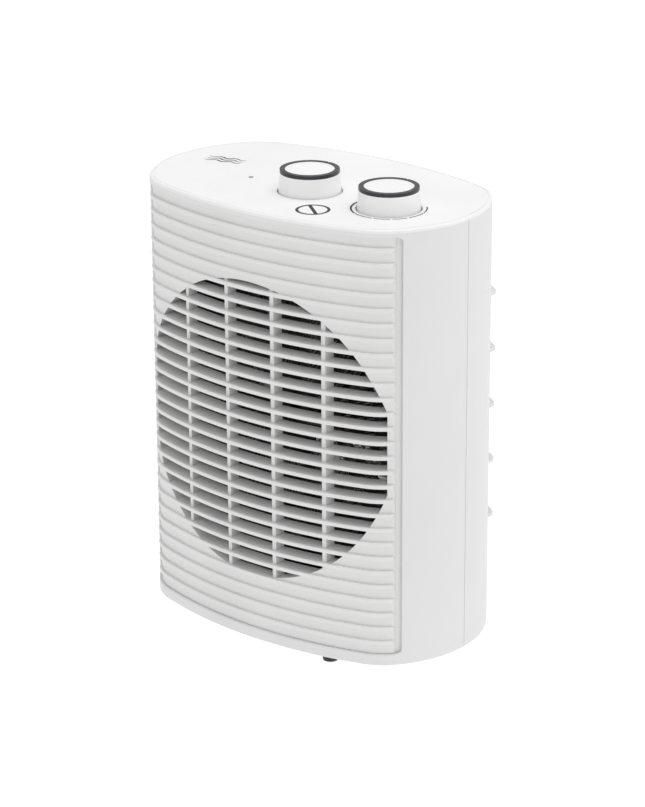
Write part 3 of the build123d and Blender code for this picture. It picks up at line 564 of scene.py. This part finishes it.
def roundedLoop(halfA, halfB, corner, steps):
    loop = []
    for centreA, centreB, start in ((1, 1, 0), (-1, 1, 90), (-1, -1, 180), (1, -1, 270)):
        for k in range(steps + 1):
            t = math.radians(start + 90 * k / steps)
            loop.append((centreA * (halfA - corner) + corner * math.cos(t),
                         centreB * (halfB - corner) + corner * math.sin(t)))
    return loop


def windMotor():
    low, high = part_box("motor_winding")
    middle = (low + high) / 2
    wire = windingWork["wireRadius"]
    lines = []
    for layer in range(windingWork["layers"]):
        inset = wire * (1 + windingWork["layerStep"] * layer)
        loop = roundedLoop((high.y - low.y) / 2 - inset, (high.z - low.z) / 2 - inset,
                           windingWork["corner"], windingWork["cornerSteps"])
        start = low.x + wire * (1 + layer)
        turns = int((high.x - wire * (1 + layer) - start) / windingWork["pitch"])
        line = []
        for k in range(turns * len(loop) + 1):
            a, b = loop[k % len(loop)]
            line.append((start + windingWork["pitch"] * k / len(loop), middle.y + a, middle.z + b))
        lines.append(line)
    winding = wireCurve("motorWinding", lines, wire, finishes["copper_wire"])
    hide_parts("motor_winding")
    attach(winding, "casing")


windMotor()
print("motor is wound")

# marks printed on the top cover

markWork = {
    "lift": 0.06 * mm, "ink": 0.05 * mm,
    "scaleRadius": 20.4 * mm, "wideArc": (-178, -115), "wideLine": 1.4 * mm, "thinLine": 0.72 * mm,
    "thinArcs": ((-113, -79), (-75.5, -50.5), (-47, -24.5), (-21, 10.5), (14, 45)),
    "ringOffset": (24.1 * mm, -27.1 * mm), "ringRadius": 8.6 * mm, "ringLine": 1.6 * mm,
    "barTurn": -39, "barLine": 2.0 * mm,
    "wavesAt": (-71.5 * mm, 18.0 * mm), "waveStep": 3.3 * mm, "waveLength": 23 * mm, "waveSwing": 0.9 * mm,
    "waveLine": 1.15 * mm, "waveTurn": -78, "waveCount": 2.5, "waveSteps": 48,
    "scaleTaper": 0.35, "waveEnd": 0.3, "barClear": 0.1 * mm,
}


printInk = plastic("printInk", (0.012, 0.013, 0.016), rough=0.5, drift=0.25, grain=2600.0, bump=0.05)


def inkMark(name, draw):
    piece, mesh = flatPiece(name, printInk, markWork["ink"])
    form = bmesh.new()
    draw(form, coverTop + markWork["lift"])
    bmesh.ops.recalc_face_normals(form, faces=form.faces)
    for face in form.faces:
        if face.normal.z < 0:
            face.normal_flip()
    form.to_mesh(mesh)
    form.free()
    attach(piece, "casing")


def drawScale(form, z):
    start, end = markWork["wideArc"]
    points = arcPoints(thermostatMiddle, markWork["scaleRadius"], start, end)
    taper = [markWork["wideLine"] * (1 - markWork["scaleTaper"] * k / (len(points) - 1))
             for k in range(len(points))]
    strip(form, points, taper, z)
    for start, end in markWork["thinArcs"]:
        points = arcPoints(thermostatMiddle, markWork["scaleRadius"], start, end)
        strip(form, points, [markWork["thinLine"]] * len(points), z)


def drawRing(form, z):
    centre = selectorMiddle + Vector((*markWork["ringOffset"], 0))
    points = arcPoints(centre, markWork["ringRadius"], 0, 360)
    count = len(points) - 1
    inner, outer = [], []
    for x, y in points[:count]:
        away = Vector((x - centre.x, y - centre.y)).normalized() * markWork["ringLine"] / 2
        inner.append(form.verts.new((x - away.x, y - away.y, z)))
        outer.append(form.verts.new((x + away.x, y + away.y, z)))
    for k in range(count):
        after = (k + 1) % count
        form.faces.new((outer[k], outer[after], inner[after], inner[k]))
    turn = math.radians(markWork["barTurn"])
    reach = markWork["ringRadius"] - markWork["ringLine"] / 2 - markWork["barClear"]
    ends = [(centre.x + side * reach * math.cos(turn), centre.y + side * reach * math.sin(turn))
            for side in (-1, 1)]
    strip(form, ends, [markWork["barLine"]] * 2, z)


def drawWaves(form, z):
    middle = Vector((markWork["wavesAt"][0], selectorMiddle.y + markWork["wavesAt"][1]))
    turn = Matrix.Rotation(math.radians(markWork["waveTurn"]), 2)
    steps = markWork["waveSteps"]
    for k in (-1, 0, 1):
        points, widths = [], []
        for step in range(steps + 1):
            share = step / steps
            phase = 2 * math.pi * markWork["waveCount"] * share
            across = k * markWork["waveStep"] + markWork["waveSwing"] * math.sin(phase)
            place = middle + turn @ Vector((across, (share - 0.5) * markWork["waveLength"]))
            points.append((place.x, place.y))
            swell = markWork["waveEnd"] + (1 - markWork["waveEnd"]) * math.sin(math.pi * share)
            widths.append(markWork["waveLine"] * swell)
        strip(form, points, widths, z)


inkMark("thermostatScale", drawScale)
inkMark("ringMark", drawRing)
inkMark("heatWaves", drawWaves)
print("top cover is printed")
